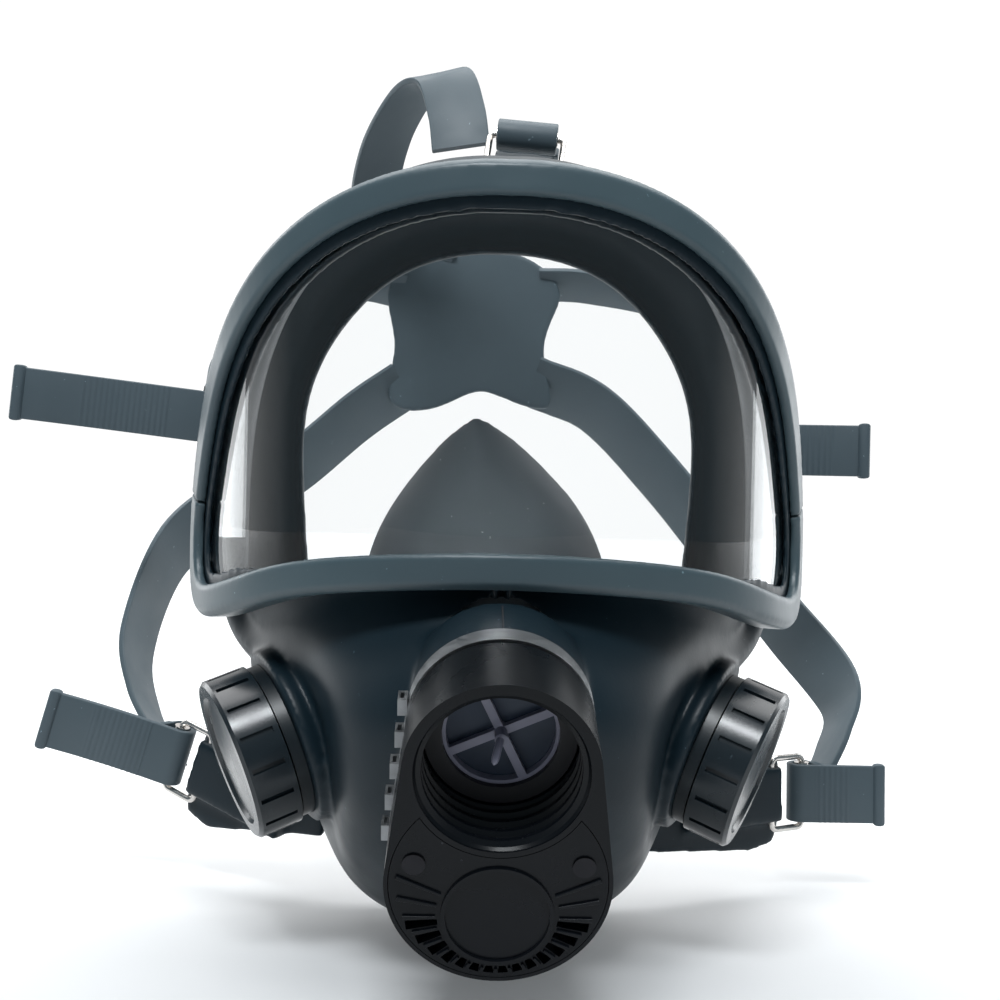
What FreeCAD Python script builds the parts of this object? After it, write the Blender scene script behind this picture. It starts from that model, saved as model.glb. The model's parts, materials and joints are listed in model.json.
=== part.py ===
"""Full face respirator: rubber facepiece, panoramic visor, threaded connector, capped side ports, five-strap harness.

Frame: millimetres, as worn, +Z up, front toward -Y, +X to a viewer's right. The origin is the centre of the face
seal, in the plane that the rearmost part of the seal touches.
"""
import FreeCAD
import Part
import Sketcher
import math
import os
from FreeCAD import Base, Placement, Rotation, Vector

SIZES = {
    # visor and its frame
    "visor_radius": 93.5, "visor_axis_y": -15.0, "visor_thick": 2.5, "visor_gap": 0.2,
    "frame_width": 9.5, "frame_proud": 5.0, "frame_deep": 4.0, "lip_width": 3.5, "lip_thick": 1.6,
    "seam_height": 10.0, "frame_screw_r": 1.5, "frame_screw_head": 2.6,
    # rubber
    "rubber_thick": 3.0, "neck_thick": 3.0, "neck_long": 27.0, "tab_thick": 5.0,
    # connector housing, seen along its own axis
    "port_y": -151.0, "port_z": -51.5, "port_tilt": 20.0, "port_r": 23.5, "exhaust_r": 27.5, "exhaust_drop": 30.0,
    "shroud_long": 22.0, "neck_inset": 4.0, "housing_long": 44.0, "thread_crest_r": 19.0, "thread_root_r": 20.2,
    "thread_pitch": 4.0, "thread_land": 1.4, "thread_turns": 4.0, "seat_depth": 21.0, "passage_r": 15.5,
    "disc_drop": 38.5, "cover_thick": 3.0, "cover_r": 26.3, "cover_disc_r": 13.7,
    "louvre_count": 14.0, "cover_screw_r": 1.5,
    # valves
    "seat_r": 17.6, "seat_thick": 2.5, "seat_open_r": 13.6, "spoke_width": 2.2, "valve_disc_r": 14.6,
    "valve_disc_thick": 0.8, "valve_pin_r": 1.6,
    # side ports and their screw caps
    "side_x": 77.2, "side_y": -68.0, "side_z": -64.6, "side_forward": 21.5, "side_down": 20.0, "cap_r": 24.0,
    "cap_deep": 13.0, "cap_flats": 16.0, "side_bore_r": 14.0, "side_barrel_r": 17.5,
    "side_thread_r": 19.4, "side_flange_r": 23.0, "side_pitch": 3.0,
    # harness and buckles
    "strap_width": 20.0, "strap_thick": 2.2, "wire_r": 1.1, "wire_fit": 0.05, "buckle_wide": 27.0,
    "buckle_long": 13.0, "buckle_corner": 2.2, "roller_r": 2.6, "wrap_gap": 0.4,
}


def make_sheet(doc):
    """Write every driving size as a plain number with an alias."""
    sheet = doc.addObject("Spreadsheet::Sheet", "Sizes")
    for row, (name, value) in enumerate(SIZES.items(), start=1):
        sheet.set(f"A{row}", name)
        sheet.set(f"B{row}", str(value))
        sheet.setAlias(f"B{row}", name)
    doc.recompute()
    return sheet


DOC = FreeCAD.newDocument("respirator")
SHEET = make_sheet(DOC)
X_AXIS = Vector(1, 0, 0)
Y_AXIS = Vector(0, 1, 0)
Z_AXIS = Vector(0, 0, 1)


def size(expression):
    """Value of an expression written with the sheet's aliases."""
    return float(SHEET.evalExpression(str(expression)))


def bound(expression):
    """The same expression as seen from another object of the document."""
    text = str(expression)
    for name in sorted(SIZES, key=len, reverse=True):
        text = text.replace(name, f"@{sorted(SIZES).index(name)}@")
    for index, name in enumerate(sorted(SIZES)):
        text = text.replace(f"@{index}@", f"Sizes.{name}")
    return f"({text}) * 1 mm"


# ---------------------------------------------------------------- PartDesign helpers

def new_body(label):
    body = DOC.addObject("PartDesign::Body", label)
    body.Label = label
    return body


def origin_plane(body, role):
    return next(item for item in body.Origin.OriginFeatures if item.Role == role)


def new_sketch(body, role, name):
    sketch = body.newObject("Sketcher::SketchObject", name)
    sketch.AttachmentSupport = [(origin_plane(body, role), "")]
    sketch.MapMode = "FlatFace"
    return sketch


def pin_point(sketch, index, end, values):
    """Tie a vertex to the sheet: one expression across and one along the sketch."""
    for kind, axis, expression in (("DistanceX", -2, values[0]), ("DistanceY", -1, values[1])):
        value = size(expression)
        if abs(value) < 1e-9:
            sketch.addConstraint(Sketcher.Constraint("PointOnObject", index, end, axis))
            continue
        added = sketch.addConstraint(Sketcher.Constraint(kind, -1, 1, index, end, value))
        sketch.setExpression(f"Constraints[{added}]", bound(expression))


def add_outline(sketch, points):
    """A closed polyline whose vertices are pairs of sheet expressions."""
    values = [(size(a), size(b)) for a, b in points]
    first = sketch.GeometryCount
    for here, there in zip(values, values[1:] + values[:1]):
        sketch.addGeometry(Part.LineSegment(Vector(*here, 0), Vector(*there, 0)), False)
    count = len(values)
    for step in range(count):
        sketch.addConstraint(Sketcher.Constraint("Coincident", first + step, 2, first + (step + 1) % count, 1))
    for step, point in enumerate(points):
        pin_point(sketch, first + step, 1, point)


def add_circle(sketch, centre, radius):
    middle = Vector(size(centre[0]), size(centre[1]), 0)
    index = sketch.addGeometry(Part.Circle(middle, Z_AXIS, size(radius)), False)
    added = sketch.addConstraint(Sketcher.Constraint("Radius", index, size(radius)))
    sketch.setExpression(f"Constraints[{added}]", bound(radius))
    pin_point(sketch, index, 3, centre)


def turned(label, profile, place):
    """A Body turned about its own Z; the profile is (radius, height) pairs of expressions."""
    body = new_body(label)
    sketch = new_sketch(body, "XZ_Plane", f"{label}_profile")
    add_outline(sketch, profile)
    turn = body.newObject("PartDesign::Revolution", f"{label}_turn")
    turn.Profile = sketch
    turn.ReferenceAxis = (sketch, ["V_Axis"])
    turn.Angle = 360
    body.Placement = place
    return body


def pocket(body, sketch, depth=None, reverse=False):
    cut = body.newObject("PartDesign::Pocket", f"{sketch.Name}_cut")
    cut.Profile = sketch
    cut.Type = "Length" if depth else "ThroughAll"
    if depth:
        cut.setExpression("Length", bound(depth))
    cut.Reversed = reverse
    return cut


def circular_pattern(body, feature, count, angle=360):
    pattern = body.newObject("PartDesign::PolarPattern", f"{feature.Name}_pattern")
    pattern.Originals = [feature]
    pattern.Axis = (next(a for a in body.Origin.OriginFeatures if a.Role == "Z_Axis"), [""])
    pattern.Angle = angle
    pattern.Occurrences = count
    body.Tip = pattern
    return pattern


def plain(label, shape, place=None):
    """A sub-part whose shape no standard feature makes."""
    item = DOC.addObject("Part::Feature", label)
    item.Label = label
    item.Shape = shape
    if place:
        item.Placement = place.multiply(shape.Placement)
    return item


def mirrored(shape):
    return shape.mirror(Vector(0, 0, 0), X_AXIS)


def aimed(origin, forward, upward=Z_AXIS):
    """Placement whose Z points forward and whose Y is as close to upward as it can be."""
    forward = Vector(forward).normalize()
    side = Vector(upward).cross(forward).normalize()
    matrix = FreeCAD.Matrix(side.x, forward.cross(side).x, forward.x, origin.x,
                            side.y, forward.cross(side).y, forward.y, origin.y,
                            side.z, forward.cross(side).z, forward.z, origin.z, 0, 0, 0, 1)
    return Placement(matrix)


# ---------------------------------------------------------------- the visor loop

RADIUS = size("visor_radius")
AXIS_Y = size("visor_axis_y")
# half of the visor's edge from top centre to bottom centre: degrees round the visor's axis, height
EDGE = [(0, 92), (17, 89.5), (34, 79.5), (49, 62), (60, 39.5), (67.5, 15), (70.5, -4), (68, -12.3), (60, -13.8),
        (40, -6.8), (20, -2.8), (0, -1.5)]


def flat_edge():
    """The edge as a closed smooth curve on the unrolled visor."""
    half = [Vector(RADIUS * math.radians(turn), height, 0) for turn, height in EDGE]
    other = [Vector(-point.x, point.y, 0) for point in reversed(half[1:-1])]
    curve = Part.BSplineCurve()
    curve.interpolate(Points=half + other, PeriodicFlag=True)
    return curve, curve.parameter(half[-1])


LOOP, LOOP_END = flat_edge()


def loop_frame(share):
    """Point on the loop, outward direction in the surface, and normal; share runs 0 (top) to 1 (bottom)."""
    value = LOOP.value(LOOP_END * share)
    along = LOOP.tangent(LOOP_END * share)[0]
    if share in (0, 1):
        along = X_AXIS if share == 0 else X_AXIS * -1
    turn = value.x / RADIUS
    normal = Vector(math.sin(turn), -math.cos(turn), 0)
    across = Vector(math.cos(turn), math.sin(turn), 0)
    outward = across * -along.y + Z_AXIS * along.x
    point = Vector(RADIUS * math.sin(turn), AXIS_Y - RADIUS * math.cos(turn), value.y)
    return point, outward, normal


def loop_point(share, out, rise):
    point, outward, normal = loop_frame(share)
    return point + outward * out + normal * rise


def share_at(height, low=0.3, high=0.75):
    """Where the side of the loop passes a height."""
    for _ in range(40):
        middle = (low + high) / 2
        if LOOP.value(LOOP_END * middle).y > height:
            low = middle
        else:
            high = middle
    return low


SECTION_STEP = 1 / 80


def rail(profile, start, stop):
    """Solid with a closed profile of (out, rise) points carried along part of the half loop."""
    wires = []
    count = math.ceil((stop - start) / SECTION_STEP) + 1
    for step in range(count):
        share = start + (stop - start) * step / (count - 1)
        points = [loop_point(share, out, rise) for out, rise in profile]
        wires.append(Part.makePolygon(points + points[:1]))
    return Part.makeLoft(wires, True, False, False)


# ---------------------------------------------------------------- facepiece, visor and frame

# columns from top centre round one side to the chin: share of the loop, then the points that the skin runs through
# behind the frame: two across the cheek, the outermost and the rearmost of the seal, and the seal's inner edge
SKIN_COLUMNS = [
    (0.00, (0, -72, 112), (0, -30, 121), (0, -8, 121), (0, 0, 110), (0, -7, 95)),
    (0.14, (40, -66, 104), (42, -30, 112), (42, -8, 112), (38, 0, 102), (32, -7, 88)),
    (0.26, (70, -50, 82), (71, -28, 87), (70, -8, 88), (62, 0, 80), (52, -7, 70)),
    (0.40, (88, -34, 48), (86, -22, 50), (84, -8, 50), (76, 0, 47), (64, -7, 42)),
    (0.52, (90, -28, 12), (88, -17, 10), (85, -8, 10), (77, 0, 10), (64, -7, 10)),
    (0.61, (80, -46, -28), (80, -22, -34), (78, -8, -34), (71, 0, -31), (60, -8, -22)),
    (0.72, (54, -82, -36), (53, -50, -68), (61, -12, -78), (55, -2, -72), (46, -10, -60)),
    (0.86, (37, -107, -42), (43, -62, -96), (42, -18, -106), (37, -6, -99), (29, -14, -85)),
    (1.00, (0, -122, -34), (0, -68, -108), (0, -22, -121), (0, -10, -113), (0, -18, -97)),
]
CHANNEL_BACK = -5.5


def grid_normal(rows, i, j):
    """Normal of a point grid by central differences."""
    above, below = rows[min(i + 1, len(rows) - 1)][j], rows[max(i - 1, 0)][j]
    right, left = rows[i][min(j + 1, len(rows[0]) - 1)], rows[i][max(j - 1, 0)]
    return (right - left).cross(above - below).normalize()


def skin(rows, thickness):
    """Solid sheet through a grid of points, thickened against the grid's normals."""
    inner = [[point - grid_normal(rows, i, j) * thickness for j, point in enumerate(row)]
             for i, row in enumerate(rows)]
    faces, borders = [], []
    for grid in (rows, inner):
        surface = Part.BSplineSurface()
        surface.interpolate(grid)
        u0, u1, v0, v1 = surface.bounds()
        faces.append(surface.toShape())
        borders.append([surface.uIso(u0), surface.uIso(u1), surface.vIso(v0), surface.vIso(v1)])
    walls = [Part.makeRuledSurface(a.toShape(), b.toShape()) for a, b in zip(*borders)]
    shell = Part.makeShell(faces + walls)
    shell.sewShape()
    return Part.makeSolid(shell.Shells[0])


def half_skin(columns, thickness):
    """Skin through columns of one side, continued past the middle so that it meets its mirror smoothly."""
    def flipped(column):
        return [Vector(-point.x, point.y, point.z) for point in column]
    every = [flipped(c) for c in columns[2:0:-1]] + columns + [flipped(c) for c in columns[-2:-4:-1]]
    rows = [list(row) for row in zip(*every)]
    side = Part.makeBox(300, 600, 600, Vector(0, -300, -300))
    return skin(rows, thickness).common(side).Solids[0]


def facepiece_columns():
    columns = []
    for share, *points in SKIN_COLUMNS:
        start = [loop_point(share, 1.2, -4.2), loop_point(share, 4.8, -9.5)]
        columns.append(start + [Vector(*point) for point in points])
    return columns


def revolved(profile, place):
    """Plain solid of revolution about local Z from (radius, height) numbers."""
    points = [Vector(radius, 0, height) for radius, height in profile]
    shape = Part.Face(Part.makePolygon(points + points[:1])).revolve(Vector(0, 0, 0), Z_AXIS, 360)
    shape.Placement = place
    return shape


def teardrop(top_r, bottom_r, front, back):
    """Prism of two circles and their common tangents between two depths along the housing's axis."""
    drop = size("exhaust_drop")
    lean = math.asin((bottom_r - top_r) / drop)
    corners = [Vector(side * radius * math.cos(lean), radius * math.sin(lean) - down, -back)
               for side, radius, down in ((1, top_r, 0), (1, bottom_r, drop), (-1, bottom_r, drop), (-1, top_r, 0))]
    middle = Part.Face(Part.makePolygon(corners + corners[:1])).extrude(Vector(0, 0, back - front))
    ends = [Part.makeCylinder(radius, back - front, Vector(0, -down, -back))
            for radius, down in ((top_r, 0), (bottom_r, drop))]
    return middle.multiFuse(ends).removeSplitter()


TILT = math.radians(size("port_tilt"))
HOUSING = aimed(Vector(0, size("port_y"), size("port_z")), Vector(0, -math.cos(TILT), -math.sin(TILT)))


def side_place(side):
    """Placement at the outer face of a side cap, Z along the port."""
    forward, down = math.radians(size("side_forward")), math.radians(size("side_down"))
    axis = Vector(side * math.cos(forward) * math.cos(down), -math.sin(forward) * math.cos(down), -math.sin(down))
    return aimed(Vector(side * size("side_x"), size("side_y"), size("side_z")), axis)


# each buckle: where its tab bar lies, the way the strap pulls, the way its front faces, tail length and lift
BUCKLES = {
    "top": (Vector(6, -16, 124.0), Vector(0.1, 0.55, 0.83), Vector(0, -0.83, 0.55), 20, -70),
    "temple_left": (Vector(-90, 2, 38), Vector(-0.80, 0.59, 0.13), Vector(-0.55, -0.8, 0), 65, 38),
    "temple_right": (Vector(90, 2, 33), Vector(0.80, 0.59, 0.0), Vector(0.55, -0.8, 0), 28, 44),
    "lower_left": (Vector(-99, 10, -82), Vector(-0.84, 0.43, 0.32), Vector(-0.42, -0.9, 0), 46, 26),
    "lower_right": (Vector(98.5, 10, -87), Vector(0.9, 0.43, 0.02), Vector(0.42, -0.9, 0), 28, 29),
}
TAB_ROOTS = {"top": 12, "temple_left": 10, "temple_right": 10, "lower_left": 36, "lower_right": 36}


def buckle_place(name):
    origin, pull, front = BUCKLES[name][:3]
    return aimed(origin, front, pull)


# broad sheets that join the lower lugs to the cheek, in their buckles' frames
EARS = {
    "lower_left": [(12, 5), (12, -7), (22, -46), (-3, -50), (-20, -7), (-18, 3), (-12, 5)],
    "lower_right": [(-12, 5), (-12, -7), (-22, -46), (16, -50), (20, -7), (18, 3), (12, 5)],
}


def tab(name):
    """Lug of the facepiece that a buckle's wire runs through, with its ear on the lower ones."""
    wide, thick = size("buckle_wide") - 7, size("tab_thick")
    root, bar = TAB_ROOTS[name], size("wire_r + wire_fit")
    lug = Part.makeBox(wide, root + 3.6, thick, Vector(-wide / 2, -root, -thick / 2))
    if name in EARS:
        corners = [Vector(x, y, -2.2) for x, y in EARS[name]]
        sheet = Part.Face(Part.makePolygon(corners + corners[:1])).extrude(Vector(0, 0, -3))
        lug = lug.fuse(sheet)
    hole = Part.makeCylinder(bar, wide + 2, Vector(-wide / 2 - 1, 0, 0), X_AXIS)
    lug = lug.cut(hole)
    lug.Placement = buckle_place(name)
    return lug


def channel_profile():
    gap, lip, thick = size("visor_gap"), size("lip_width"), size("lip_thick")
    back = -size("visor_thick") - gap
    return [(-lip, gap), (-lip, gap + thick), (3.2, gap + thick), (3.2, CHANNEL_BACK), (-lip, CHANNEL_BACK),
            (-lip, back), (gap, back), (gap, gap)]


SEAM_SHARE = share_at(size("seam_height"))
SEAM_GAP = 0.0008
FRAME_SPANS = {"frame_upper": (0, SEAM_SHARE - SEAM_GAP), "frame_lower": (SEAM_SHARE + SEAM_GAP, 1)}


def frame_profile(grow=0.0):
    """Section of the frame: a flange over the rubber's front and a wall round its outside."""
    wide, proud, deep = size("frame_width"), size("frame_proud"), size("frame_deep")
    under, wall = size("visor_gap + lip_thick") + 0.15 - grow, 3.4 - grow
    return [(-0.2 - grow, under), (-0.2 - grow, proud - 0.8), (0.8, proud), (wide - 1.8, proud),
            (wide + grow, proud - 1.6), (wide + grow, -deep - grow), (wall, -deep - grow), (wall, under)]


def make_facepiece():
    """One half with its boss, channel and neck is cut to fit the frame and visor, then mirrored; lugs come last."""
    half = half_skin(facepiece_columns(), size("rubber_thick"))
    place = side_place(1)
    boss = revolved([(17.7, -17.2), (26.5, -17.2), (26.5, -20.5), (24.5, -22.5), (25, -28), (28.5, -35.5),
                     (33, -41), (30, -43), (24, -40), (20.7, -36), (17.7, -36)], place)
    inside = revolved([(0, -10), (17.7, -10), (17.7, -36), (20.7, -36), (26, -46), (26, -60), (0, -60)], place)
    half = half.fuse(boss).cut(inside)
    inset, thick = size("neck_inset"), size("neck_thick")
    top_r, bottom_r = size("port_r") - inset, size("exhaust_r") - inset
    front = size("shroud_long") + 0.4
    neck = teardrop(top_r + thick, bottom_r + thick, front, front + size("neck_long"))
    hole = teardrop(top_r + 0.15, bottom_r + 0.15, front - 5, front + 40)
    for shape in (neck, hole):
        shape.Placement = HOUSING
    half = half.fuse(neck.common(Part.makeBox(60, 400, 400, Vector(0, -300, -200)))).cut(hole)
    half = half.fuse(rail(channel_profile(), 0, 1))
    for start, stop in FRAME_SPANS.values():
        half = half.cut(rail(frame_profile(0.12), start, stop))
    half = half.cut(pane(0.15))
    whole = half.fuse(mirrored(half))
    for name in BUCKLES:
        whole = whole.fuse(tab(name))
    for name in BUCKLES:
        swing = Part.makeCylinder(size("wire_r + wire_fit"), 40, Vector(-20, 0, 0), X_AXIS)
        swing.Placement = buckle_place(name)
        whole = whole.cut(swing)
    if len(whole.Solids) != 1 or whole.Volume < 280000:
        raise RuntimeError(f"facepiece came out as {len(whole.Solids)} solids of {whole.Volume:.0f} mm3")
    return plain("facepiece", whole)


def pane_face(radius, grow):
    """Part of the cylinder of this radius that lies inside the loop grown by a margin, with its border edge."""
    cylinder = Part.Cylinder()
    cylinder.Radius = radius
    cylinder.Center = Vector(0, AXIS_Y, 0)
    span = LOOP.LastParameter - LOOP.FirstParameter
    points = []
    count = 160
    for step in range(count):
        value = LOOP.value(LOOP.FirstParameter + span * step / count)
        along = LOOP.tangent(LOOP.FirstParameter + span * step / count)[0]
        across, height = value.x - along.y * grow, value.y + along.x * grow
        points.append(Base.Vector2d(across / RADIUS + 1.5 * math.pi, height))
    outline = Part.Geom2d.BSplineCurve2d()
    outline.interpolate(Points=points, PeriodicFlag=True)
    edge = outline.toShape(cylinder)
    return Part.Face(cylinder, Part.Wire([edge])), edge


def pane(grow=0.0):
    """Curved pane: two cylinder faces inside the loop and the radial edge between them."""
    outer, outer_edge = pane_face(RADIUS + grow, grow)
    inner, inner_edge = pane_face(RADIUS - size("visor_thick") - grow, grow)
    shell = Part.makeShell([outer, inner, Part.makeRuledSurface(outer_edge, inner_edge)])
    shell.sewShape()
    return Part.makeSolid(shell.Shells[0])


def seam_screw(side, radius, start, stop):
    """Cylinder along the frame at its side seam; start and stop are distances from the seam, + upward."""
    centre = loop_point(SEAM_SHARE, 6.4, 0.6)
    _, outward, normal = loop_frame(SEAM_SHARE)
    along = outward.cross(normal)
    if along.z < 0:
        along = along * -1
    shape = Part.makeCylinder(radius, stop - start, centre + along * start, along)
    return shape if side > 0 else mirrored(shape)


def make_frame():
    """Upper and lower halves that clamp the rubber round the visor, and the screws that join them."""
    shaft, head = size("frame_screw_r"), size("frame_screw_head")
    for label, (start, stop) in FRAME_SPANS.items():
        half = rail(frame_profile(), start, stop)
        whole = half.multiFuse([mirrored(half)]).removeSplitter().cut(pane(0.1))
        for side in (-1, 1):
            whole = whole.cut(seam_screw(side, shaft + 0.05, -9, 9))
            if label == "frame_upper":
                whole = whole.cut(seam_screw(side, head + 0.1, 5, 9))
        plain(label, whole)
    screws = []
    for side in (-1, 1):
        screws.append(seam_screw(side, shaft, -7, 5.5).fuse(seam_screw(side, head, 5.1, 7.2)))
    plain("frame_screws", Part.makeCompound(screws))


# ---------------------------------------------------------------- connector housing and its valves

def shifted(place, x, y, z):
    """The placement moved along its own axes."""
    return place.multiply(Placement(Vector(x, y, z), Rotation()))


def pad_circle(body, name, centre, radius, top, length):
    """Pad a circle downward from a height given below the body's XY plane."""
    sketch = new_sketch(body, "XY_Plane", name)
    add_circle(sketch, centre, radius)
    return pad_sketch(body, sketch, top, length)


def pad_sketch(body, sketch, top, length):
    sketch.AttachmentOffset = Placement(Vector(0, 0, -size(top)), Rotation())
    pad = body.newObject("PartDesign::Pad", f"{sketch.Name}_pad")
    pad.Profile = sketch
    pad.setExpression("Length", bound(length))
    pad.Reversed = True
    return pad


def cut_circle(body, name, centre, radius, top, length):
    sketch = new_sketch(body, "XY_Plane", name)
    add_circle(sketch, centre, radius)
    sketch.AttachmentOffset = Placement(Vector(0, 0, -size(top)), Rotation())
    return pocket(body, sketch, length)


def tangent_outline(top_r, bottom_r):
    lean = f"(({bottom_r} - ({top_r})) / exhaust_drop)"
    level = f"sqrt(1 - {lean}^2)"
    right = [(f"({radius}) * {level}", f"({radius}) * {lean} - {drop}")
             for radius, drop in ((top_r, "0"), (bottom_r, "exhaust_drop"))]
    left = [(f"-1 * {a}", b) for a, b in reversed(right)]
    return right + left


def thread_profile():
    """Groove profile of the round thread: a mouth, then turns with a flat crest, then the seat's chamber."""
    root, crest, pitch, land = "thread_root_r", "thread_crest_r", "thread_pitch", "thread_land"
    points = [("0", "1"), ("thread_root_r + 0.6", "1"), ("thread_root_r + 0.6", "-0.6"), (root, "-1.4")]
    for turn in range(int(size("thread_turns"))):
        top = f"-2.2 - {turn} * {pitch}"
        points += [(crest, top), (crest, f"{top} - {land}"), (root, f"{top} - {land} - 0.8"),
                   (root, f"{top} - {pitch} + 0.8")]
    shelf = f"-2.2 - thread_turns * {pitch}"
    points += [("thread_crest_r + 0.4", shelf), ("thread_crest_r + 0.4", "-seat_depth + 0.4"), ("seat_r + 0.2", "-seat_depth + 0.4"),
               ("seat_r + 0.2", "-seat_depth - seat_thick"), ("passage_r", "-seat_depth - seat_thick"),
               ("passage_r", "-housing_long - 1"), ("0", "-housing_long - 1")]
    return points


def make_housing():
    body = new_body("connector_housing")
    stages = (("shroud", "port_r", "exhaust_r", "0", "shroud_long"),
              ("neck", "port_r - neck_inset", "exhaust_r - neck_inset", "shroud_long", "housing_long - shroud_long"))
    for name, top_r, bottom_r, top, length in stages:
        pad_circle(body, f"{name}_port", ("0", "0"), top_r, top, length)
        pad_circle(body, f"{name}_exhaust", ("0", "-exhaust_drop"), bottom_r, top, length)
        sketch = new_sketch(body, "XY_Plane", f"{name}_web")
        add_outline(sketch, tangent_outline(top_r, bottom_r))
        pad_sketch(body, sketch, top, length)
    sketch = new_sketch(body, "XZ_Plane", "port_bore")
    add_outline(sketch, thread_profile())
    groove = body.newObject("PartDesign::Groove", "port_thread")
    groove.Profile = sketch
    groove.ReferenceAxis = (sketch, ["V_Axis"])
    groove.Angle = 360
    add_lune(body, "cover_recess", "cover_r + 0.2", "thread_root_r + 2", "cover_thick + 0.1")
    cut_circle(body, "exhaust_gallery", ("0", "-disc_drop"), "cover_disc_r + 2.3", "0", "8")
    cut_circle(body, "exhaust_chamber", ("0", "-disc_drop"), "cover_disc_r + 0.2", "0", "12")
    cut_circle(body, "exhaust_passage", ("0", "-disc_drop"), "11", "0", "housing_long + 1")
    for name, side in (("right", ""), ("left", "-")):
        cut_circle(body, f"screw_hole_{name}", (f"{side}20.3", "-24.2"), "cover_screw_r - 0.05", "0", "11")
    body.Placement = HOUSING


def add_lune(body, name, disc_r, port_r, depth):
    """Pocket the round end's disc, less the port's collar."""
    big, small, drop = size(disc_r), size(port_r), size("exhaust_drop")
    level = (big ** 2 - small ** 2 - drop ** 2) / (2 * drop)
    across = math.sqrt(small ** 2 - level ** 2)
    left, right = Vector(-across, level, 0), Vector(across, level, 0)
    sketch = new_sketch(body, "XY_Plane", name)
    bottom, inner = Vector(0, -drop - big, 0), Vector(0, -small, 0)
    sketch.addGeometry(Part.Arc(left, bottom, right), False)
    sketch.addGeometry(Part.Arc(right, inner, left), False)
    for index, radius in ((0, disc_r), (1, port_r)):
        added = sketch.addConstraint(Sketcher.Constraint("Radius", index, size(radius)))
        sketch.setExpression(f"Constraints[{added}]", bound(radius))
    return pocket(body, sketch, depth)


def cover_outline(front, back, slack):
    """Disc of the cover less the port's collar, as a plain prism."""
    disc = Part.makeCylinder(size("cover_r") - slack, back - front,
                             Vector(0, -size("exhaust_drop"), -back))
    collar = Part.makeCylinder(size("thread_root_r + 2") + slack + 0.2, 60, Vector(0, 0, -40))
    return disc.cut(collar)


def make_cover():
    """Slotted cover over the exhalation valve, with a plain disc in its middle."""
    thick, disc_r = size("cover_thick"), size("cover_disc_r")
    plate = cover_outline(0, thick, 0.0)
    middle = Vector(0, -size("disc_drop"), 0)
    count = int(size("louvre_count"))
    away = size("disc_drop - exhaust_drop")
    for step in range(count):
        turn = math.radians(180 + 8 + (180 - 16) * step / (count - 1))
        rise = away * math.sin(turn)
        reach = rise + math.sqrt(rise ** 2 - away ** 2 + (size("cover_r") - 1.3) ** 2)
        inner = disc_r + 0.9
        corners = [Vector(inner, -0.8, -thick - 1), Vector(reach, -1.3, -thick - 1),
                   Vector(reach, 1.3, -thick - 1), Vector(inner, 0.8, -thick - 1)]
        slot = Part.Face(Part.makePolygon(corners + corners[:1])).extrude(Vector(0, 0, thick + 2))
        slot.rotate(Vector(0, 0, 0), Z_AXIS, math.degrees(turn))
        slot.translate(middle)
        plate = plate.cut(slot)
    ring = Part.makeCylinder(disc_r, 0.8, middle).cut(Part.makeCylinder(disc_r - 1, 0.8, middle))
    plate = plate.fuse(ring)
    for side in (-1, 1):
        seat = Vector(side * 20.3, -24.2, -thick - 1)
        plate = plate.cut(Part.makeCylinder(size("cover_screw_r") + 0.1, thick + 2, seat))
    plain("exhalation_cover", plate.removeSplitter(), HOUSING)
    screws = []
    for side in (-1, 1):
        seat = Vector(side * 20.3, -24.2, 0)
        head = Part.makeCylinder(2.8, 0.6, seat)
        shank = Part.makeCylinder(size("cover_screw_r") - 0.1, 10, seat - Vector(0, 0, 10))
        drive = Part.makeCylinder(1.1, 0.8, seat - Vector(0, 0, 0.3))
        screws.append(head.fuse(shank).cut(drive))
    plain("cover_screws", Part.makeCompound(screws), HOUSING)


def valve_seat(label, place, outer, inner, pin_front, pin_back):
    """Ring with a cross of spokes and a pin; its front face is at local zero."""
    body = new_body(label)
    pad_circle(body, f"{label}_ring", ("0", "0"), outer, "0", "seat_thick")
    cut_circle(body, f"{label}_opening", ("0", "0"), inner, "0", "seat_thick + 1")
    for name, half_x, half_y in (("level", f"{inner} + 0.5", "spoke_width / 2"),
                                 ("upright", "spoke_width / 2", f"{inner} + 0.5")):
        sketch = new_sketch(body, "XY_Plane", f"{label}_{name}")
        add_outline(sketch, [(f"-1 * ({half_x})", f"-1 * ({half_y})"), (half_x, f"-1 * ({half_y})"),
                             (half_x, half_y), (f"-1 * ({half_x})", half_y)])
        pad_sketch(body, sketch, "0", "seat_thick * 0.7")
    pad_circle(body, f"{label}_pin", ("0", "0"), "valve_pin_r", f"-1 * {pin_front}", f"{pin_front} + {pin_back}")
    body.Placement = place
    return body


def valve_disc(label, place, radius):
    body = new_body(label)
    pad_circle(body, f"{label}_sheet", ("0", "0"), radius, "0", "valve_disc_thick")
    cut_circle(body, f"{label}_eye", ("0", "0"), "valve_pin_r + 0.04", "0", "valve_disc_thick + 1")
    body.Placement = place
    return body


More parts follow.
